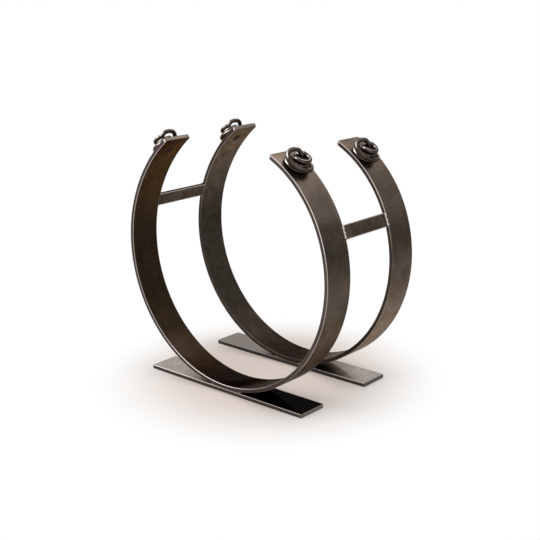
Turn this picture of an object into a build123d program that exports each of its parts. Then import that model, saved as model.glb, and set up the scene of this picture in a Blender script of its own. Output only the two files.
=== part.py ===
# Log holder of two open flat-bar hoops, each welded on its own foot bar, with a forged knot near each tip
from build123d import *
from math import cos, degrees, radians, sin, tan
import os

os.makedirs("parts", exist_ok=True)

# Flat bar that the hoops and feet are made of
bar_width = 50.0
bar_thickness = 6.0
edge_ease = 0.8

# Hoops, seen from the front as circles that stay open at the top, bent tighter on the right than on the left
hoop_outer_radius = 195.0
hoop_gap = 97.0
upper_start = 22.0
right_upper_radius = 177.0
right_upper_length = 128.0
left_upper_radius = 228.0
left_upper_length = 123.0
tip_corner = 5.0

# Feet, one flat bar under each hoop, reaching a little further to the left
foot_length = 306.0
foot_shift = -5.5
foot_corner = 2.0

# Tie bars between the hoops, one on each side
tie_width = 20.0
tie_thickness = 5.0
tie_angle = 18.5
tie_ease = 0.5

# Weld beads
tie_bead_radius = 3.0
tie_bead_margin = 1.0
foot_bead_start = 16.0
foot_bead_end = 31.0
foot_bead_margin = 2.0
foot_bead_round = 1.0

# Knots: corners of each rod's way, towards the tip, sideways and out from the bar, from the knot's middle
rod_diameter = 6.2
rod_sides = 8
rod_ease = 0.7
bend_share = 0.46
lower_way = (
    (-3.2, -3.2, 3.2), (-8.2, -8.8, 3.2), (-16, -7, 3.2), (-17.5, 3, 3.2), (-13, 12.5, 3.2),
    (-4, 17.5, 3.2), (6.5, 17, 3.2), (15, 10, 3.2), (15.8, 0, 3.2), (10.5, -12, 3.6),
    (0, -18.8, 5.4), (-12, -17.5, 7.4), (-20.5, -8.5, 9), (-21, 4.5, 9.4), (-15, 15.5, 9.6),
    (-4.5, 20.2, 10), (6, 19.5, 12.6), (12, 14, 17), (12, 5, 20.3), (7.5, -3.5, 19.5), (1.5, -6.5, 14),
)
upper_way = (
    (-3, 10.2, 7.2), (-11, 9, 8.6), (-14.5, 0.5, 9.9), (-13, -9, 10.4), (-4.5, -14, 10),
    (5, -12, 9.3), (9.5, -3, 9.2), (8, 6.5, 10.6), (-0.5, 10.8, 14), (-9.5, 6.5, 16),
    (-11.8, -3, 16.4), (-7.5, -12, 16.6), (0.5, -13.8, 15.3),
)

# Places of the knots, each set by hand: back from the tip, and sideways from the middle of the bar
front_right_setback = 30.0
front_left_setback = 28.0
rear_right_setback = 37.0
rear_left_setback = 28.0
front_right_sideways = 0.0
front_left_sideways = 2.0
rear_right_sideways = 5.0
rear_left_sideways = -2.0

# Shanks that hold the knots, passing through the bar and filling a countersink on its inside
shank_radius = 4.4
shank_rise = 6.0
plug_radius = 6.4
plug_angle = 90.0
plug_recess = 0.4

# Clearance where two separate pieces only just touch
seat_gap = 0.1

# Derived sizes
hoop_inner_radius = hoop_outer_radius - bar_thickness
hoop_centre_z = bar_thickness + hoop_outer_radius
hoop_y = (hoop_gap + bar_width) / 2
lower_arc = 180.0 + 2 * upper_start
rod_radius = rod_diameter / 2
knot_places = {
    ("front", 1): (front_right_setback, front_right_sideways),
    ("front", -1): (front_left_setback, front_left_sideways),
    ("rear", 1): (rear_right_setback, rear_right_sideways),
    ("rear", -1): (rear_left_setback, rear_left_sideways),
}


def upper_arc(side):
    """Radius, centre and sweep in degrees of the hoop's upper arc, on the right for side 1 and left for -1."""
    radius = right_upper_radius if side > 0 else left_upper_radius
    length = right_upper_length if side > 0 else left_upper_length
    offset = hoop_outer_radius - radius
    centre = (side * offset * cos(radians(upper_start)), hoop_centre_z + offset * sin(radians(upper_start)))
    return radius, centre, degrees(length / radius)


def knot_plane(place, side, inward=False):
    """Plane on the hoop's outer or inner face at a knot, with its x axis towards the tip."""
    setback, sideways = knot_places[place, side]
    radius, centre, sweep_angle = upper_arc(side)
    angle = radians(upper_start + sweep_angle) - setback / radius
    reach = radius - bar_thickness if inward else radius
    normal = -1 if inward else 1
    y = -hoop_y if place == "front" else hoop_y
    return Plane(
        origin=(centre[0] + side * reach * cos(angle), y - side * sideways, centre[1] + reach * sin(angle)),
        x_dir=(-side * sin(angle), 0, cos(angle)),
        z_dir=(normal * side * cos(angle), 0, normal * sin(angle)),
    )


# Hoop before its holes are drilled: a long lower arc that runs on into an upper arc on each side
right_radius, right_centre, right_sweep = upper_arc(1)
left_radius, left_centre, left_sweep = upper_arc(-1)
with BuildPart() as hoop_blank:
    with BuildSketch(Plane.XZ):
        with BuildLine():
            CenterArc((0, hoop_centre_z), hoop_outer_radius, upper_start, -lower_arc)
            CenterArc((0, hoop_centre_z), hoop_inner_radius, upper_start, -lower_arc)
            right_outer = CenterArc(right_centre, right_radius, upper_start, right_sweep)
            right_inner = CenterArc(right_centre, right_radius - bar_thickness, upper_start, right_sweep)
            left_outer = CenterArc(left_centre, left_radius, 180.0 - upper_start, -left_sweep)
            left_inner = CenterArc(left_centre, left_radius - bar_thickness, 180.0 - upper_start, -left_sweep)
            Line(right_outer @ 1, right_inner @ 1)
            Line(left_outer @ 1, left_inner @ 1)
        make_face()
    extrude(amount=bar_width / 2, both=True)
    tip_corners = hoop_blank.edges().filter_by(GeomType.LINE).group_by(SortBy.LENGTH)[0]
    fillet(tip_corners, tip_corner)
    long_arcs = hoop_blank.edges().filter_by(GeomType.CIRCLE).filter_by(lambda arc: arc.length > bar_width)
    chamfer(long_arcs, edge_ease)

# Front hoop, drilled for its knots
with BuildPart() as front_hoop:
    with Locations((0, -hoop_y, 0)):
        add(hoop_blank.part)
    with Locations(knot_plane("front", 1, True), knot_plane("front", -1, True)):
        CounterSinkHole(shank_radius + seat_gap, plug_radius + seat_gap, 2 * bar_thickness, plug_angle)
front_hoop.part.label = "front_hoop"
export_step(front_hoop.part, "parts/front_hoop.step")

# Rear hoop, the same bar with its knots set elsewhere
with BuildPart() as rear_hoop:
    with Locations((0, hoop_y, 0)):
        add(hoop_blank.part)
    with Locations(knot_plane("rear", 1, True), knot_plane("rear", -1, True)):
        CounterSinkHole(shank_radius + seat_gap, plug_radius + seat_gap, 2 * bar_thickness, plug_angle)
rear_hoop.part.label = "rear_hoop"
export_step(rear_hoop.part, "parts/rear_hoop.step")

# Front foot
with BuildPart() as front_foot:
    with BuildSketch(Plane.XY):
        with Locations((foot_shift, -hoop_y)):
            RectangleRounded(foot_length, bar_width, foot_corner)
    extrude(amount=bar_thickness)
    chamfer(front_foot.faces().sort_by(Axis.Z)[-1].edges(), edge_ease)
    chamfer(front_foot.faces().sort_by(Axis.Z)[0].edges(), edge_ease / 2)
front_foot.part.label = "front_foot"
export_step(front_foot.part, "parts/front_foot.step")

# Rear foot
with BuildPart() as rear_foot:
    with Locations((0, 2 * hoop_y, 0)):
        add(front_foot.part)
rear_foot.part.label = "rear_foot"
export_step(rear_foot.part, "parts/rear_foot.step")

# Right tie bar, flush with the inside of the hoops and butted against their facing edges
tie_radius = hoop_inner_radius + tie_thickness / 2
tie_normal = (cos(radians(tie_angle)), 0, sin(radians(tie_angle)))
tie_centre = (tie_radius * tie_normal[0], 0, hoop_centre_z + tie_radius * tie_normal[2])
with BuildPart() as right_tie_bar:
    with BuildSketch(Plane(origin=tie_centre, x_dir=tie_normal, z_dir=(0, 1, 0))):
        RectangleRounded(tie_thickness, tie_width, tie_ease)
    extrude(amount=hoop_gap / 2, both=True)
right_tie_bar.part.label = "right_tie_bar"
export_step(right_tie_bar.part, "parts/right_tie_bar.step")

# Left tie bar
with BuildPart() as left_tie_bar:
    add(right_tie_bar.part.mirror(Plane.YZ))
left_tie_bar.part.label = "left_tie_bar"
export_step(left_tie_bar.part, "parts/left_tie_bar.step")

# Weld bead over the joint of the right tie bar and the front hoop
bead_radius = hoop_inner_radius + tie_thickness
bead_centre = (bead_radius * tie_normal[0], -hoop_gap / 2, hoop_centre_z + bead_radius * tie_normal[2])
bead_length = tie_width - 2 * tie_bead_margin
with BuildPart() as right_front_tie_weld:
    with BuildSketch(Plane(origin=bead_centre, x_dir=(0, 1, 0), z_dir=(-tie_normal[2], 0, tie_normal[0]))):
        Circle(tie_bead_radius)
    extrude(amount=bead_length / 2, both=True)
    chamfer(right_front_tie_weld.edges(), tie_bead_radius / 3)
    add(front_hoop.part, mode=Mode.SUBTRACT)
    add(right_tie_bar.part, mode=Mode.SUBTRACT)
right_front_tie_weld.part.label = "right_front_tie_weld"
export_step(right_front_tie_weld.part, "parts/right_front_tie_weld.step")

# The same bead at the bar's rear end and at both ends of the left bar
with BuildPart() as right_rear_tie_weld:
    add(right_front_tie_weld.part.mirror(Plane.XZ))
right_rear_tie_weld.part.label = "right_rear_tie_weld"
export_step(right_rear_tie_weld.part, "parts/right_rear_tie_weld.step")

with BuildPart() as left_front_tie_weld:
    add(right_front_tie_weld.part.mirror(Plane.YZ))
left_front_tie_weld.part.label = "left_front_tie_weld"
export_step(left_front_tie_weld.part, "parts/left_front_tie_weld.step")

with BuildPart() as left_rear_tie_weld:
    add(left_front_tie_weld.part.mirror(Plane.XZ))
left_rear_tie_weld.part.label = "left_rear_tie_weld"
export_step(left_rear_tie_weld.part, "parts/left_rear_tie_weld.step")

# Weld in the wedge between the front foot and the hoop, right of the line where they touch
with BuildPart() as front_right_foot_weld:
    with BuildSketch(Plane.XZ.offset(hoop_y)):
        with BuildLine():
            Polyline(
                (foot_bead_start, bar_thickness),
                (foot_bead_end, bar_thickness),
                (foot_bead_end, 2 * bar_thickness),
                (foot_bead_start, 2 * bar_thickness),
                close=True,
            )
        make_face()
        with Locations((0, hoop_centre_z)):
            Circle(hoop_outer_radius, mode=Mode.SUBTRACT)
    extrude(amount=bar_width / 2 - foot_bead_margin, both=True)
    bead_outside = front_right_foot_weld.faces().sort_by(Axis.X)[-1]
    fillet(bead_outside.edges().sort_by(Axis.Z)[-1], foot_bead_round)
front_right_foot_weld.part.label = "front_right_foot_weld"
export_step(front_right_foot_weld.part, "parts/front_right_foot_weld.step")

with BuildPart() as front_left_foot_weld:
    add(front_right_foot_weld.part.mirror(Plane.YZ))
front_left_foot_weld.part.label = "front_left_foot_weld"
export_step(front_left_foot_weld.part, "parts/front_left_foot_weld.step")

with BuildPart() as rear_right_foot_weld:
    add(front_right_foot_weld.part.mirror(Plane.XZ))
rear_right_foot_weld.part.label = "rear_right_foot_weld"
export_step(rear_right_foot_weld.part, "parts/rear_right_foot_weld.step")

with BuildPart() as rear_left_foot_weld:
    add(front_left_foot_weld.part.mirror(Plane.XZ))
rear_left_foot_weld.part.label = "rear_left_foot_weld"
export_step(rear_left_foot_weld.part, "parts/rear_left_foot_weld.step")


def bend_radii(corners):
    """Bend radius at each inner corner of a rod's way, as wide as the shorter of its two runs allows."""
    radii = []
    for before, corner, after in zip(corners, corners[1:], corners[2:]):
        back = Vector(before) - Vector(corner)
        ahead = Vector(after) - Vector(corner)
        half_turn = (180.0 - back.get_angle(ahead)) / 2
        radii.append(bend_share * min(back.length, ahead.length) / tan(radians(half_turn)))
    return radii


def forged_rod(corners):
    """Rod forged to soft flats, in straight runs and bends, its ends eased."""
    with BuildPart() as rod:
        with BuildLine() as way:
            FilletPolyline(*corners, radius=bend_radii(corners))
        with BuildSketch(Plane(origin=way.line @ 0, z_dir=way.line % 0)):
            RegularPolygon(rod_radius, rod_sides)
        sweep(path=way.line)
        for end in (way.line @ 0, way.line @ 1):
            chamfer(rod.faces().sort_by_distance(end)[0].edges(), rod_ease)
    return rod.part


# Lower rod, lying on the bar, rising round the knot and over its top, and upper rod, coiled inside it
lower_rod = forged_rod(lower_way)
upper_rod = forged_rod(upper_way)
rod_lift = seat_gap - lower_rod.bounding_box().min.Z

# Shank: a countersunk plug inside the bar, a stem through it and a rounded end inside the knot
plug_depth = (plug_radius - shank_radius) / tan(radians(plug_angle / 2))
with BuildPart() as shank:
    with BuildSketch(Plane.XZ):
        with BuildLine():
            Polyline(
                (0, plug_recess - bar_thickness),
                (plug_radius - plug_recess, plug_recess - bar_thickness),
                (shank_radius, plug_depth - bar_thickness),
                (shank_radius, shank_rise),
                (0, shank_rise),
                close=True,
            )
        make_face()
    revolve(axis=Axis.Z)
    chamfer(shank.faces().sort_by(Axis.Z)[-1].edges(), shank_radius / 4)

# Knots and shanks of the front and rear pairs of tips
for place in ("front", "rear"):
    for kind, piece, lift in (
        ("lower_rods", lower_rod, rod_lift),
        ("upper_rods", upper_rod, rod_lift),
        ("shanks", shank.part, 0.0),
    ):
        with BuildPart() as pair:
            with Locations(knot_plane(place, 1).offset(lift), knot_plane(place, -1).offset(lift)):
                add(piece)
        pair.part.label = f"{place}_knot_{kind}"
        export_step(pair.part, f"parts/{place}_knot_{kind}.step")
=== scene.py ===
import bpy
from math import cos, radians, sin
from mathutils import Matrix, Vector


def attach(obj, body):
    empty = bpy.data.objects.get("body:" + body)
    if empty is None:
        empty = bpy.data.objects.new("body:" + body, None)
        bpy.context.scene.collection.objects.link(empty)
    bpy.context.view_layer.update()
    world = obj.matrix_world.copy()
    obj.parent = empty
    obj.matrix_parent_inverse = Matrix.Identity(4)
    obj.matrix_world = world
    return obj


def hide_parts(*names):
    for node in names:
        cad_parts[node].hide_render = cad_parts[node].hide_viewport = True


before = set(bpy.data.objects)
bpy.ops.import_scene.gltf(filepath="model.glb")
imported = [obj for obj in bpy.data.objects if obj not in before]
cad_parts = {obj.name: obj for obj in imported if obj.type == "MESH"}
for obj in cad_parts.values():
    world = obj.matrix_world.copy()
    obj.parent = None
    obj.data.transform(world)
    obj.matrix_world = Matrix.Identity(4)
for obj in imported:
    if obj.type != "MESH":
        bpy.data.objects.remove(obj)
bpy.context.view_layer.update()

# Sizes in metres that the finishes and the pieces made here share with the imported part
BAR = 0.006
HALF_WIDTH = 0.025
HOOP_RADIUS = 0.195
HOOP_Z = BAR + HOOP_RADIUS
HOOP_Y = 0.0735
HALF_GAP = HOOP_Y - HALF_WIDTH
UPPER_START = radians(22.0)
FOOT_MIDDLE = -0.0055
TIE_ANGLE = radians(18.5)
TIE_THICK = 0.005
TIE_BEAD = 0.018

# Radius and length of a hoop's upper arc, on the right and on the left
UPPER_BEND = {1: (0.177, 0.128), -1: (0.228, 0.123)}

# Knots: back from the tip and sideways, then the corners of each rod's way in millimetres
KNOT_PLACES = {
    ("front", 1): (0.030, 0.0),
    ("front", -1): (0.028, 0.002),
    ("rear", 1): (0.037, 0.005),
    ("rear", -1): (0.028, -0.002),
}
LOWER_WAY = (
    (-2.9, -2.9, 3.2), (-7.4, -7.9, 3.2), (-14.4, -6.3, 3.2), (-15.8, 2.7, 3.2), (-11.7, 11.3, 3.2),
    (-3.6, 15.8, 3.2), (5.9, 15.3, 3.2), (13.5, 9, 3.2), (14.2, 0, 3.2), (9.5, -10.8, 3.6),
    (0, -16.9, 5.4), (-11.8, -15.8, 7.2), (-20.2, -7.7, 8.6), (-20.6, 4.1, 8.8), (-14.6, 14, 9.4),
    (-4.1, 18.3, 10), (6, 18.6, 12.6), (12.5, 14, 16.4), (12.3, 4.5, 19.4), (7.5, -4.2, 18.7),
    (0.5, -5.5, 13.5),
)
UPPER_WAY = (
    (-2.7, 9.2, 7.2), (-10.4, 8.1, 8.9), (-13.8, 0.5, 10.4), (-12.2, -8.1, 10.8), (-4.1, -12.6, 10),
    (4.5, -10.8, 9.3), (8.6, -2.7, 9.2), (7.2, 5.9, 10.6), (-0.5, 9.7, 14), (-10.4, 6.1, 16),
    (-12.6, -2.7, 16.3), (-8.4, -11, 16.4), (1.5, -12.6, 15.8), (6.5, -8.5, 15.6),
)

# Dressed rods: the swell is a share of the radius, Mark Size and SWELL_FINENESS are the fineness of
# the noise that marks and swells them, and ROD_END keeps their very ends from shrinking to nothing
ROD_SIZES = {
    "Radius": 0.0032,
    "Spacing": 0.0006,
    "Sides": 24,
    "Swell": 0.06,
    "Mark Size": 190.0,
    "Mark Depth": 0.00016,
}
SWELL_FINENESS = 90.0
ROD_END = 0.0004

# Weld ripples: each is flattened along the bead, and its size is uneven between two shares of the radius
RIPPLE_SIZES = {"Radius": 0.0034, "Spacing": 0.0029, "Flatness": 0.62, "Seed": 4}
FOOT_RIPPLE_SIZES = {"radius": 0.0019, "spacing": 0.0017, "flatness": 0.7}
RIPPLE_UNEVEN = (0.9, 1.04)

# Where the ripples lie: how far they stop short of a bead's end, and the foot welds' place in the wedge
TIE_RIPPLE_INSET = 0.001
FOOT_RIPPLE_INSET = 0.0035
FOOT_WELD_X = 0.0292
FOOT_WELD_RISE = 0.0009


def colour(red, green, blue):
    return (red, green, blue, 1.0)


def dimmed(tone, share):
    return colour(*[part * share for part in tone])


WHITE = colour(1.0, 1.0, 1.0)


class Board:
    """Short calls that add and link the nodes of any tree."""

    def __init__(self, tree):
        self.tree = tree

    def add(self, kind, inputs=(), **settings):
        node = self.tree.nodes.new(kind)
        for key, value in settings.items():
            setattr(node, key, value)
        for key, value in dict(inputs).items():
            self.feed(node.inputs[key], value)
        return node

    def feed(self, socket, value):
        if hasattr(value, "is_output"):
            self.tree.links.new(value, socket)
        else:
            socket.default_value = value

    def math(self, operation, first, second=0.0):
        return self.add("ShaderNodeMath", {0: first, 1: second}, operation=operation).outputs[0]

    def plus(self, first, second):
        return self.math("ADD", first, second)

    def less(self, first, second):
        return self.math("SUBTRACT", first, second)

    def times(self, first, second):
        return self.math("MULTIPLY", first, second)

    def larger(self, first, second):
        return self.math("MAXIMUM", first, second)

    def size(self, value):
        """The value without its sign."""
        return self.math("ABSOLUTE", value)

    def weigh(self, first, first_share, second, second_share):
        """Sum of two values, each times its share."""
        return self.plus(self.times(first, first_share), self.times(second, second_share))

    def reach(self, first, second):
        """How far a place is from the middle, by its two measures."""
        return self.math("SQRT", self.plus(self.times(first, first), self.times(second, second)))


class Finish(Board):
    """Material whose nodes are added by short calls."""

    STOPS_REACH = 0.4
    STOPS_TOP = 4.0

    def __init__(self, name):
        self.material = bpy.data.materials.new(name)
        self.material.use_nodes = True
        super().__init__(self.material.node_tree)
        self.tree.nodes.clear()
        self.surface = self.add("ShaderNodeOutputMaterial").inputs["Surface"]

    def ramp(self, value, none, full):
        """Runs softly from 0 at the first place to 1 at the second, whichever is the larger."""
        inputs = {"Value": value, "From Min": none, "From Max": full}
        return self.add("ShaderNodeMapRange", inputs, interpolation_type="SMOOTHSTEP").outputs["Result"]

    def scale(self, value, low, high):
        """Maps 0 to 1 onto low to high."""
        inputs = {"Value": value, "To Min": low, "To Max": high}
        return self.add("ShaderNodeMapRange", inputs).outputs["Result"]

    def stops(self, value, pairs):
        """Runs softly through (place, level) pairs, up to STOPS_REACH in metres and up to STOPS_TOP."""
        node = self.add("ShaderNodeValToRGB", {0: self.math("DIVIDE", value, self.STOPS_REACH)})
        node.color_ramp.interpolation = "EASE"
        elements = node.color_ramp.elements
        while len(elements) < len(pairs):
            elements.new(0.5)
        for number, (place, level) in enumerate(pairs):
            elements[number].position = place / self.STOPS_REACH
            elements[number].color = dimmed((level, level, level), 1 / self.STOPS_TOP)
        return self.times(node.outputs[0], self.STOPS_TOP)

    def noise(self, vector, scale, detail, roughness=0.55, distortion=0.0):
        inputs = {
            "Vector": vector,
            "Scale": scale,
            "Detail": detail,
            "Roughness": roughness,
            "Distortion": distortion,
        }
        return self.add("ShaderNodeTexNoise", inputs).outputs["Fac"]

    def vector(self, x, y, z):
        return self.add("ShaderNodeCombineXYZ", {0: x, 1: y, 2: z}).outputs[0]

    def parts(self, vector):
        return self.add("ShaderNodeSeparateXYZ", {0: vector}).outputs

    def mix(self, factor, first, second, blend="MIX"):
        inputs = {0: factor, 6: first, 7: second}
        return self.add("ShaderNodeMix", inputs, data_type="RGBA", blend_type=blend).outputs[2]

    def shade(self, base, level):
        """Makes a tone darker or brighter by a level."""
        return self.mix(1.0, base, self.vector(level, level, level), "MULTIPLY")


# Fineness of the drawn lines, which run along a bar and are close together across it
LINES = {
    "arc": (1.2, 260.0, 260.0),
    "x": (6.0, 260.0, 260.0),
    "y": (260.0, 6.0, 260.0),
}

# Fineness of the noise: wide clouds, blotches, flecks and grain, and the lines on forged pieces
BROAD, BLOTCH, FLECK, GRAIN = 9.0, 55.0, 420.0, 1500.0
FORGED_LINES = 240.0

# Widths over which a rubbed arris fades in from the flat and ends at the corner
ARRIS_FADE = 0.0007
ARRIS_END = 0.0001

# Directions where a highlight is painted bright on forged pieces and welds: to the front or back and up,
# and to the right or left and up, then how closely a face has to meet the second one and the share that it
# gets
FRONT_BACK_HIGHLIGHT = (0.8, 0.6)
LEFT_RIGHT_HIGHLIGHT = (0.45, 0.89)
LEFT_RIGHT_HIGHLIGHT_RAMP = (0.955, 0.999)
LEFT_RIGHT_HIGHLIGHT_SHARE = 0.5

# Darkest share of a cut edge's tone and of an inside's, and how that inside brightens between two heights
# as painted shade
CUT_DARKEST = 0.7
INNER_DARKEST = 0.55
INNER_HEIGHTS = (0.2, 0.36)
INNER_SHADES = (0.5, 2.1)

# Heights between which the arrises' strength goes from that low down to that near the tips: wear, and
# painted shade low down
ARRIS_WEAR_AND_SHADE_HEIGHTS = (0.2, 0.33)

# Depth of the relief, roughness of the wax, and warmth of the metal at a glancing angle
RELIEF = 0.0006
WAX_ROUGH = 0.12
GRAZING_TONE = (1.0, 0.88, 0.76)


def line_place(t, along, position, height):
    """Place stretched along the bar, where plain noise draws fine lines."""
    if along == "none":
        return position
    x, y, z = t.parts(position)
    if along == "arc":
        x, z = t.math("ARCTAN2", x, t.times(height, -1.0)), t.reach(x, height)
    return t.vector(*[t.times(measure, fineness) for measure, fineness in zip((x, y, z), LINES[along])])


def arris_mask(t, edges, x, y, height):
    """1 on a bar's rubbed arrises and 0 elsewhere."""
    mask = 0.0
    for kind, inside, outside in edges:
        if kind == "side":
            measure = t.less(t.size(y), HOOP_Y)
        elif kind == "tie":
            measure = t.less(t.times(height, cos(TIE_ANGLE)), t.times(t.size(x), sin(TIE_ANGLE)))
        else:
            measure = t.less(x, FOOT_MIDDLE)
        measure = t.size(measure)
        fade = t.ramp(measure, inside, inside + ARRIS_FADE)
        mask = t.larger(t.times(fade, t.ramp(measure, outside, outside - ARRIS_END)), mask)
    return mask


def steel(name, along, dark, light, bright, rough=(0.26, 0.42), fine=1.0, bump=0.3, coat=0.06,
          grazing=0.4, side=None, inner=None, painted_reflection_stops=None, painted_length_shade=None, painted_highlight=None,
          edges=(), arris=None, arris_wear_and_shade=(1.0, 1.0)):
    """Burnished and waxed steel: blotchy mill scale, fine drawn lines along the bar, rubbed edges, and
    where asked painted highlights, reflection and shade.

    along is "arc" for the hoops, "x" or "y" for straight bars and "none" for forged pieces.
    dark and light are the scale's two tones, bright is where it's rubbed off. rough is the roughness.
    fine scales the fine detail, bump the relief. coat is the wax, grazing the tone at a glancing angle.
    edges lists (kind, inside, outside): the rubbed arris lies between these two measures.
    side is the tone of a bar's cut edge, and inner is the tone of a hoop's inside, which brightens upwards
    as painted shade.
    levels lists a hoop's painted reflection and shade by height. lengthwise is a foot's painted reflection
    and shade: start and end in x, left and right shade.
    arris is the rubbed edges' tone if it isn't bright, and worn their strength low down and near the tips,
    partly wear and partly painted shade.
    crest is (start, full, tone) for a painted highlight, bright where a face looks up and to the front or
    back, and half as much where it faces up and to the right or left.
    """
    t = Finish(name)
    position = t.add("ShaderNodeTexCoord").outputs["Object"]
    facing_x, facing_y, facing_z = t.parts(t.add("ShaderNodeNewGeometry").outputs["True Normal"])
    x, y, z = t.parts(position)
    height = t.less(z, HOOP_Z)
    broad = t.noise(position, BROAD, 2.0)
    blotch = t.noise(position, BLOTCH, 5.0, 0.62, 0.6)
    fleck = t.noise(position, FLECK, 4.0, 0.7)
    grain = t.noise(position, GRAIN, 2.0)
    lines = line_place(t, along, position, height)
    drawn = t.noise(lines, FORGED_LINES if along == "none" else 1.0, 3.0, 0.6)

    # Scale and drawn lines
    tone = t.weigh(broad, 0.3, blotch, 0.7)
    tone = t.ramp(t.plus(tone, t.times(t.less(fleck, 0.5), 0.5 * fine)), 0.32, 0.7)
    base = t.mix(tone, colour(*dark), colour(*light))
    streaks = t.ramp(t.weigh(drawn, 0.6, fleck, 0.4), 0.55, 0.78)
    base = t.mix(t.times(streaks, 0.18 * fine), base, colour(*bright))

    # Painted highlights, reflection and shade, by direction and by place
    if painted_highlight:
        start, full, highlight_tone = painted_highlight
        endways = t.weigh(t.size(facing_y), FRONT_BACK_HIGHLIGHT[0], facing_z, FRONT_BACK_HIGHLIGHT[1])
        sideways = t.weigh(t.size(facing_x), LEFT_RIGHT_HIGHLIGHT[0], facing_z, LEFT_RIGHT_HIGHLIGHT[1])
        highlight_mask = t.times(t.ramp(sideways, *LEFT_RIGHT_HIGHLIGHT_RAMP), LEFT_RIGHT_HIGHLIGHT_SHARE)
        highlight_mask = t.larger(t.ramp(endways, start, full), highlight_mask)
        base = t.mix(t.times(highlight_mask, t.scale(tone, 0.7, 1.0)), base, colour(*highlight_tone))
    # Painted reflection and shade: the hoop darker or brighter by height
    if painted_reflection_stops:
        base = t.shade(base, t.stops(z, painted_reflection_stops))
    # Inside of a hoop: painted shade, dark low down and brightening towards the tips
    if inner:
        inward = t.times(t.plus(t.times(facing_x, x), t.times(facing_z, height)), -1.0)
        inside_shade_tone = t.mix(tone, dimmed(inner, INNER_DARKEST), colour(*inner))
        inside_shade_tone = t.shade(inside_shade_tone, t.scale(t.ramp(z, *INNER_HEIGHTS), *INNER_SHADES))
        base = t.mix(t.ramp(inward, 0.05, 0.12), base, inside_shade_tone)
    # Painted reflection and shade: a foot darker or brighter from one end to the other
    if painted_length_shade:
        start, end, left, right = painted_length_shade
        base = t.shade(base, t.scale(t.ramp(x, start, end), left, right))
    if side:
        cut = t.ramp(t.size(facing_y), 0.8, 0.95)
        base = t.mix(cut, base, t.mix(tone, dimmed(side, CUT_DARKEST), colour(*side)))

    # Rubbed edges: wear, weakened low down as painted shade
    mask = arris_mask(t, edges, x, y, height)
    if edges:
        broken = t.scale(t.ramp(t.weigh(fleck, 0.5, blotch, 0.5), 0.3, 0.56), 0.9, 1.0)
        strength = t.times(broken, t.scale(t.ramp(z, *ARRIS_WEAR_AND_SHADE_HEIGHTS), *arris_wear_and_shade))
        base = t.mix(t.times(mask, strength), base, colour(*(arris or bright)))

    relief = t.weigh(blotch, 0.5, fleck, 0.3 * fine)
    relief = t.plus(relief, t.times(t.plus(drawn, grain), 0.12 * fine))
    relief = t.times(relief, t.less(1.0, mask))
    bumps = t.add("ShaderNodeBump", {"Strength": bump, "Distance": RELIEF, "Height": relief})
    shader = t.add("ShaderNodeBsdfPrincipled", {
        "Base Color": base,
        "Metallic": 1.0,
        "Specular Tint": dimmed(GRAZING_TONE, grazing),
        "Roughness": t.scale(t.weigh(blotch, 0.6, drawn, 0.4), *rough),
        "Coat Weight": coat,
        "Coat Roughness": WAX_ROUGH,
        "Normal": bumps.outputs[0],
    })
    t.feed(t.surface, shader.outputs[0])
    return t.material


# Tones that several finishes share, and the hoops' (height, shade) pairs: painted reflection and shade by
# height
DARK = (0.068, 0.0535, 0.0435)
MID = (0.104, 0.082, 0.068)
BRIGHT = (0.46, 0.405, 0.40)
ARRIS = (("side", 0.0236, 0.0250),)
FOOT_ARRIS = (("side", 0.0241, 0.0250), ("end", 0.1521, 0.1531))
FRONT_PAINTED_REFLECTION = (
    (0.055, 0.3), (0.09, 1.65), (0.177, 1.1), (0.235, 0.48), (0.27, 0.6), (0.292, 1.2), (0.345, 1.65),
)
REAR_PAINTED_REFLECTION = ((0.08, 4.0), (0.119, 2.6), (0.18, 1.15), (0.235, 0.5), (0.288, 0.95), (0.345, 1.5))

# Forged knots and welds: their crest is a painted highlight on faces that look up and to the front, back or
# sides
knot_steel = steel(
    "knot_forged_steel", "none", (0.024, 0.017, 0.013), (0.066, 0.049, 0.039), BRIGHT,
    rough=(0.12, 0.2), fine=0.1, bump=0.15, coat=0.2, grazing=0.5,
    painted_highlight=(0.88, 0.995, (0.44, 0.395, 0.375)))
weld_steel = steel(
    "weld_bead_steel", "none", (0.04, 0.033, 0.03), (0.1, 0.085, 0.077), BRIGHT,
    rough=(0.1, 0.2), fine=0.2, bump=0.2, painted_highlight=(0.45, 0.8, (0.46, 0.41, 0.39)))

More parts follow.
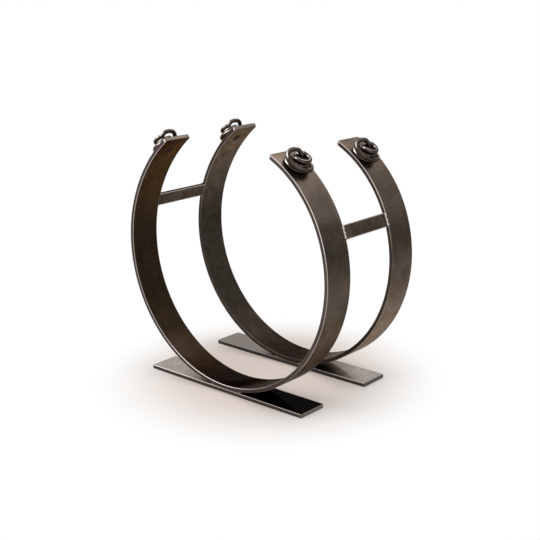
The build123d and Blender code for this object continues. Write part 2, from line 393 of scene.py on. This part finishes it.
# Finishes by the ending of a node's name
FINISHES = {
    "front_hoop": steel(
        "front_hoop_burnished_steel", "arc", DARK, MID, BRIGHT, grazing=0.36, edges=ARRIS,
        side=(0.085, 0.066, 0.056), inner=(0.052, 0.031, 0.016), painted_reflection_stops=FRONT_PAINTED_REFLECTION, arris_wear_and_shade=(0.7, 0.95)),
    "rear_hoop": steel(
        "rear_hoop_burnished_steel", "arc", DARK, MID, BRIGHT, grazing=0.4, edges=ARRIS,
        side=(0.05, 0.037, 0.031), inner=(0.08, 0.062, 0.048), painted_reflection_stops=REAR_PAINTED_REFLECTION, arris_wear_and_shade=(0.05, 0.8)),
    # The feet's lengthwise shade is painted reflection and shade
    "front_foot": steel(
        "front_foot_oiled_steel", "x", (0.122, 0.112, 0.106), (0.172, 0.158, 0.149), (0.26, 0.238, 0.23),
        rough=(0.2, 0.3), fine=0.35, coat=0.03, grazing=0.45, edges=FOOT_ARRIS, side=(0.1, 0.086, 0.078),
        painted_length_shade=(-0.14, 0.03, 3.6, 0.03), arris=(0.2, 0.175, 0.16)),
    "rear_foot": steel(
        "rear_foot_oiled_steel", "x", (0.14, 0.124, 0.119), (0.27, 0.242, 0.233), (0.36, 0.325, 0.315),
        rough=(0.22, 0.36), fine=0.35, coat=0.6, grazing=0.9, edges=FOOT_ARRIS, side=(0.035, 0.029, 0.027),
        painted_length_shade=(0.055, 0.12, 0.3, 1.25), arris=(0.06, 0.052, 0.05)),
    "bar": steel(
        "tie_burnished_steel", "y", (0.036, 0.027, 0.02), (0.085, 0.065, 0.051), BRIGHT,
        edges=(("tie", 0.0088, 0.01),), arris=(0.45, 0.4, 0.39)),
    "weld": weld_steel,
    "shanks": steel(
        "shank_dark_steel", "none", (0.02, 0.013, 0.008), (0.055, 0.038, 0.024), BRIGHT,
        rough=(0.35, 0.5), fine=0.4),
    "rods": knot_steel,
}

for name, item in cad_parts.items():
    finish = next(look for ending, look in FINISHES.items() if name.endswith(ending))
    for place in item.material_slots:
        place.material = finish
    if not item.material_slots:
        item.data.materials.append(finish)


class Bench(Board):
    """Geometry Nodes tree with named sizes, which makes a piece along given lines."""

    def __init__(self, name, sizes):
        super().__init__(bpy.data.node_groups.new(name, "GeometryNodeTree"))
        self.names = {}
        self.name_socket("Way", "NodeSocketGeometry")
        for title, value in sizes.items():
            kind = "NodeSocketInt" if isinstance(value, int) else "NodeSocketFloat"
            self.name_socket(title, kind).default_value = value
        self.name_socket("Finish", "NodeSocketMaterial")
        self.name_socket("Piece", "NodeSocketGeometry", "OUTPUT")
        self.given = self.add("NodeGroupInput").outputs
        self.end = self.add("NodeGroupOutput").inputs

    def name_socket(self, title, kind, in_out="INPUT"):
        socket = self.tree.interface.new_socket(name=title, in_out=in_out, socket_type=kind)
        self.names[title] = socket.identifier
        return socket

    def close(self, shape):
        """Ends the tree: instances made real, smooth faces and the finish set."""
        real = self.add("GeometryNodeRealizeInstances", {"Geometry": shape})
        smooth = self.add("GeometryNodeSetShadeSmooth", {"Geometry": real.outputs[0]})
        inputs = {"Geometry": smooth.outputs[0], "Material": self.given["Finish"]}
        self.feed(self.end["Piece"], self.add("GeometryNodeSetMaterial", inputs).outputs[0])

    def bake(self, name, ways, finish, **sizes):
        """Runs the tree on lines through the given points and returns the finished piece."""
        points = []
        steps = []
        for way in ways:
            steps += [(len(points) + step, len(points) + step + 1) for step in range(len(way) - 1)]
            points += [tuple(point) for point in way]
        start = bpy.data.meshes.new(name)
        start.from_pydata(points, steps, [])
        worker = bpy.data.objects.new(name + "_way", start)
        bpy.context.scene.collection.objects.link(worker)
        work = worker.modifiers.new("make", "NODES")
        work.node_group = self.tree
        work[self.names["Finish"]] = finish
        for title, value in sizes.items():
            work[self.names[title.title()]] = value
        bpy.context.view_layer.update()
        ready = worker.evaluated_get(bpy.context.evaluated_depsgraph_get())
        mesh = bpy.data.meshes.new_from_object(ready)
        mesh.name = name
        worker.modifiers.remove(work)
        bpy.data.objects.remove(worker)
        piece = bpy.data.objects.new(name, mesh)
        bpy.context.scene.collection.objects.link(piece)
        return piece


def knot_frame(place, side):
    """Turn and place of a knot: its x runs towards the tip, its z out from the bar."""
    radius, length = UPPER_BEND[side]
    offset = HOOP_RADIUS - radius
    setback, sideways = KNOT_PLACES[place, side]
    angle = UPPER_START + (length - setback) / radius
    out = Vector((side * cos(angle), 0.0, sin(angle)))
    tip = Vector((-side * sin(angle), 0.0, cos(angle)))
    middle = Vector((
        side * (offset * cos(UPPER_START) + radius * cos(angle)),
        (-HOOP_Y if place == "front" else HOOP_Y) - side * sideways,
        HOOP_Z + offset * sin(UPPER_START) + radius * sin(angle),
    ))
    return Matrix.Translation(middle) @ Matrix((tip, out.cross(tip), out)).transposed().to_4x4()


def bent_way(corners, steps=6):
    """Smooth line that touches each run at its middle, as a rod bent by hand does."""
    corners = [Vector(corner) / 1000.0 for corner in corners]
    line = [corners[0]]
    for before, corner, after in zip(corners, corners[1:], corners[2:]):
        start = corners[0] if before is corners[0] else (before + corner) / 2
        end = corners[-1] if after is corners[-1] else (corner + after) / 2
        for step in range(1, steps + 1):
            share = step / steps
            line.append(start * (1 - share) ** 2 + corner * 2 * share * (1 - share) + end * share ** 2)
    return line


def spaced_way(b):
    """The given lines as curves, with points at the tree's spacing."""
    curve = b.add("GeometryNodeMeshToCurve", {"Mesh": b.given["Way"]})
    inputs = {"Curve": curve.outputs[0], "Length": b.given["Spacing"]}
    return b.add("GeometryNodeResampleCurve", inputs, mode="LENGTH").outputs[0]


def rod_bench():
    """Tree that makes a hand-forged round rod: rounded ends, uneven thickness and soft hammer marks."""
    b = Bench("forged_rod", ROD_SIZES)
    way = spaced_way(b)
    along = b.add("GeometryNodeSplineParameter").outputs["Length"]
    whole = b.add("GeometryNodeSplineLength").outputs["Length"]
    left = b.math("MINIMUM", along, b.less(whole, along))
    share = b.math("MINIMUM", b.math("DIVIDE", left, b.given["Radius"]), 1.0)
    ended = b.math("SQRT", b.larger(b.times(share, b.less(2.0, share)), ROD_END))
    where = b.add("GeometryNodeInputPosition").outputs[0]
    uneven = b.add("ShaderNodeTexNoise", {"Vector": where, "Scale": SWELL_FINENESS, "Detail": 1.0})
    swell = b.times(b.less(uneven.outputs[0], 0.5), b.given["Swell"])
    thick = b.times(b.times(ended, b.given["Radius"]), b.plus(1.0, swell))
    ring = b.add("GeometryNodeCurvePrimitiveCircle", {"Resolution": b.given["Sides"], "Radius": 1.0})
    skin = b.add("GeometryNodeCurveToMesh", {
        "Curve": way, "Profile Curve": ring.outputs[0], "Scale": thick, "Fill Caps": True})
    marks = b.add("ShaderNodeTexNoise", {"Vector": where, "Scale": b.given["Mark Size"], "Detail": 1.5})
    depth = b.times(b.less(marks.outputs[0], 0.5), b.given["Mark Depth"])
    facing = b.add("GeometryNodeInputNormal").outputs[0]
    push = b.add("ShaderNodeVectorMath", {0: facing, "Scale": depth}, operation="SCALE")
    shape = b.add("GeometryNodeSetPosition", {"Geometry": skin.outputs[0], "Offset": push.outputs[0]})
    b.close(shape.outputs[0])
    return b


rods = rod_bench()
for place in ("front", "rear"):
    for kind, corners in (("lower", LOWER_WAY), ("upper", UPPER_WAY)):
        ways = [[knot_frame(place, side) @ point for point in bent_way(corners)] for side in (1, -1)]
        piece = rods.bake(f"{place}_knot_{kind}_forging", ways, knot_steel)
        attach(piece, "root")
        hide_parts(f"{place}_knot_{kind}_rods")


def ripple_bench():
    """Tree that lays overlapping weld ripples along a line."""
    b = Bench("weld_ripples", RIPPLE_SIZES)
    way = spaced_way(b)
    tangent = b.add("GeometryNodeInputTangent").outputs[0]
    drop = b.add("GeometryNodeMeshUVSphere", {"Segments": 20, "Rings": 10, "Radius": 1.0})
    aim = b.add("FunctionNodeAlignEulerToVector", {"Vector": tangent}, axis="Z")
    inputs = {"Seed": b.given["Seed"], 2: RIPPLE_UNEVEN[0], 3: RIPPLE_UNEVEN[1]}
    uneven = b.add("FunctionNodeRandomValue", inputs, data_type="FLOAT")
    across = b.times(b.given["Radius"], uneven.outputs[1])
    along = b.times(across, b.given["Flatness"])
    size = b.add("ShaderNodeCombineXYZ", {"X": across, "Y": across, "Z": along})
    row = b.add("GeometryNodeInstanceOnPoints", {
        "Points": way, "Instance": drop.outputs[0], "Rotation": aim.outputs[0], "Scale": size.outputs[0]})
    b.close(row.outputs[0])
    return b


ripples = ripple_bench()
bead_reach = HOOP_RADIUS - BAR + TIE_THICK
for side, side_name in ((1, "right"), (-1, "left")):
    for end, end_name in ((-1, "front"), (1, "rear")):
        middle = Vector((
            side * bead_reach * cos(TIE_ANGLE),
            end * HALF_GAP,
            HOOP_Z + bead_reach * sin(TIE_ANGLE),
        ))
        half = Vector((-side * sin(TIE_ANGLE), 0.0, cos(TIE_ANGLE))) * (TIE_BEAD / 2 - TIE_RIPPLE_INSET)
        run = [(middle - half, middle + half)]
        piece = ripples.bake(f"{side_name}_{end_name}_tie_ripples", run, weld_steel)
        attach(piece, "root")
        middle = Vector((side * FOOT_WELD_X, end * HOOP_Y, BAR + FOOT_WELD_RISE))
        half = Vector((0.0, HALF_WIDTH - FOOT_RIPPLE_INSET, 0.0))
        run = [(middle - half, middle + half)]
        piece = ripples.bake(f"{end_name}_{side_name}_foot_ripples", run, weld_steel, **FOOT_RIPPLE_SIZES)
        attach(piece, "root")

# Floor: half its width, how far it lies below the feet, its warm grey tone near the object, a painted
# shadow, its own light where it's seen, and where it turns white
FLOOR_REACH = 6.0
FLOOR_DROP = 0.0004
FLOOR_SHADOW_TONE = colour(0.59, 0.51, 0.46)
FLOOR_GLOW = 0.06
FLOOR_FADE = (0.1, 0.28)

# Brightness of the world as light on the object
SKY_LIGHT = 0.42


def ground():
    """Wide floor that keeps the object's soft shadow, is tinted warm grey near it as a painted shadow, and
    turns pure white away from it.
    """
    mesh = bpy.data.meshes.new("floor")
    corners = [(x * FLOOR_REACH, y * FLOOR_REACH, 0.0) for x, y in ((-1, -1), (1, -1), (1, 1), (-1, 1))]
    mesh.from_pydata(corners, [], [(0, 1, 2, 3)])
    item = bpy.data.objects.new("floor", mesh)
    item.location.z = -FLOOR_DROP
    bpy.context.scene.collection.objects.link(item)
    t = Finish("floor_white")
    x, y = t.parts(t.add("ShaderNodeTexCoord").outputs["Object"])[:2]
    ray = t.add("ShaderNodeLightPath").outputs
    seen = t.larger(ray["Is Camera Ray"], ray["Is Glossy Ray"])
    # Warm grey floor tone: painted shadow near the object, on top of the real one
    plain = t.add("ShaderNodeBsdfDiffuse", {"Color": FLOOR_SHADOW_TONE})
    glow = t.add("ShaderNodeEmission", {"Color": WHITE, "Strength": t.times(seen, FLOOR_GLOW)})
    both = t.add("ShaderNodeAddShader", {0: plain.outputs[0], 1: glow.outputs[0]})
    white = t.add("ShaderNodeEmission", {"Color": WHITE, "Strength": 1.0})
    away = t.times(seen, t.ramp(t.reach(x, y), *FLOOR_FADE))
    fade = t.add("ShaderNodeMixShader", {0: away, 1: both.outputs[0], 2: white.outputs[0]})
    t.feed(t.surface, fade.outputs[0])
    mesh.materials.append(t.material)


def studio_sky():
    """World that is white where the camera, gloss or glass see it and dimmer as light on the object."""
    world = bpy.data.worlds.new("studio")
    bpy.context.scene.world = world
    world.use_nodes = True
    b = Board(world.node_tree)
    b.tree.nodes.clear()
    ray = b.add("ShaderNodeLightPath").outputs
    seen = b.larger(ray["Is Camera Ray"], b.larger(ray["Is Glossy Ray"], ray["Is Transmission Ray"]))
    level = b.add("ShaderNodeMapRange", {"Value": seen, "To Min": SKY_LIGHT, "To Max": 1.0})
    back = b.add("ShaderNodeBackground", {"Color": WHITE, "Strength": level.outputs["Result"]})
    b.add("ShaderNodeOutputWorld", {"Surface": back.outputs[0]})


def lamp(name, place, aim, size, power):
    """Rectangular soft lamp that shines from a place towards a point."""
    light = bpy.data.lights.new(name, "AREA")
    light.shape = "RECTANGLE"
    light.size, light.size_y = size
    light.energy = power
    item = bpy.data.objects.new(name, light)
    bpy.context.scene.collection.objects.link(item)
    way = Vector(aim) - Vector(place)
    item.matrix_world = Matrix.Translation(place) @ way.to_track_quat("-Z", "Y").to_matrix().to_4x4()


ground()
studio_sky()

# Lamps: place, point that they shine at, width and height, and power in watts
lamp("key_softbox", (-0.8, -1.0, 1.15), (0.0, 0.0, 0.15), (1.5, 1.5), 19.0)
lamp("fill_softbox", (1.3, -0.8, 0.8), (0.0, 0.0, 0.15), (0.9, 1.2), 5.0)
lamp("top_softbox", (0.2, 0.5, 1.8), (0.0, 0.0, 0.1), (1.5, 1.5), 17.0)

# Camera: fitted to the hoops, feet and tips in the photograph, with the focal length in pixels
AZIMUTH, ELEVATION, ROLL = radians(41.831), radians(15.922), radians(-1.026)
DISTANCE = 1.52912
TARGET = Vector((0.00626, 0.0, 0.16846))
FOCAL = 1015.755
PHOTO_WIDTH = 540.0
SENSOR = 36.0
back_way = Vector((sin(AZIMUTH) * cos(ELEVATION), -cos(AZIMUTH) * cos(ELEVATION), sin(ELEVATION)))
level_way = Vector((cos(AZIMUTH), sin(AZIMUTH), 0.0))
upright_way = back_way.cross(level_way)
right_way = level_way * cos(ROLL) + upright_way * sin(ROLL)
up_way = upright_way * cos(ROLL) - level_way * sin(ROLL)
camera_data = bpy.data.cameras.new("camera")
camera_data.sensor_width = SENSOR
camera_data.lens = SENSOR * FOCAL / PHOTO_WIDTH
camera = bpy.data.objects.new("camera", camera_data)
bpy.context.scene.collection.objects.link(camera)
turn = Matrix((right_way, up_way, back_way)).transposed()
camera.matrix_world = Matrix.Translation(TARGET + back_way * DISTANCE) @ turn.to_4x4()
bpy.context.scene.camera = camera
bpy.context.scene.view_settings.view_transform = "Standard"
